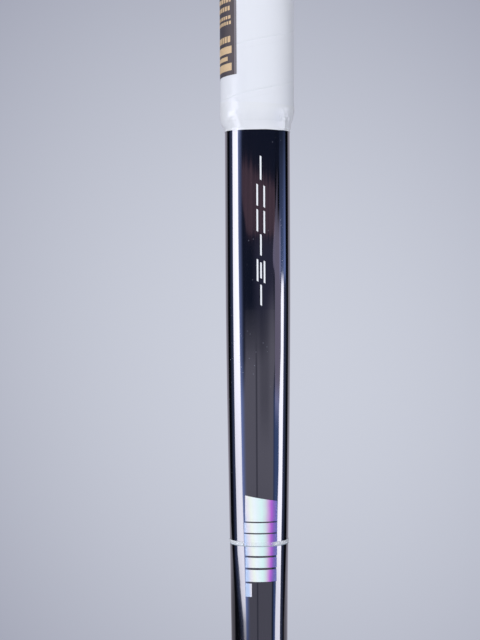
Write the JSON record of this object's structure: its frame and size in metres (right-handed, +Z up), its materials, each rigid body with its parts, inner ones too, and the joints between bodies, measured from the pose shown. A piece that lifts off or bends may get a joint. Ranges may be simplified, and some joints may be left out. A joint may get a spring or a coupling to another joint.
{
  "type": "floorball stick",
  "caption": "Floorball stick: tapered round tube, hooked openwork blade on a screwed and glued neck socket, helically wound grip with a finishing tape and end plug.",
  "frame": {"origin": "on the shaft's axis, half way along the grip, where a hand holds the stick", "axes": "+Z up along the shaft to the butt end; the blade's toe points to +X and down, and its hollow face looks towards -Y"},
  "size_m": [0.2459, 0.037, 1.1391],
  "materials": {
    "gloss_black_shaft": "high-gloss black lacquer over composite",
    "black_plug": "matte moulded plastic",
    "white_grip": "satin polyurethane strip",
    "white_tape": "glossy stretched tape",
    "dark_label": "satin printed film",
    "pale_band": "pale translucent film",
    "charcoal_blade": "fine-textured moulded plastic",
    "amber_glue": "set hot-melt glue",
    "zinc_screw": "zinc plated",
    "white_print": "white ink under clear lacquer",
    "rainbow_foil": "iridescent foil print",
    "gold_print": "gold ink"
  },
  "bodies": {
    "root": {"shaft": "gloss_black_shaft", "end_plug": "black_plug", "grip_wrap": "white_grip", "grip_end_tape": "white_tape", "size_label": "dark_label", "pale_band": "pale_band", "blade": "charcoal_blade", "neck_glue": "amber_glue", "blade_screw_1": "zinc_screw", "blade_screw_2": "zinc_screw"}
  },
  "joints": []
}
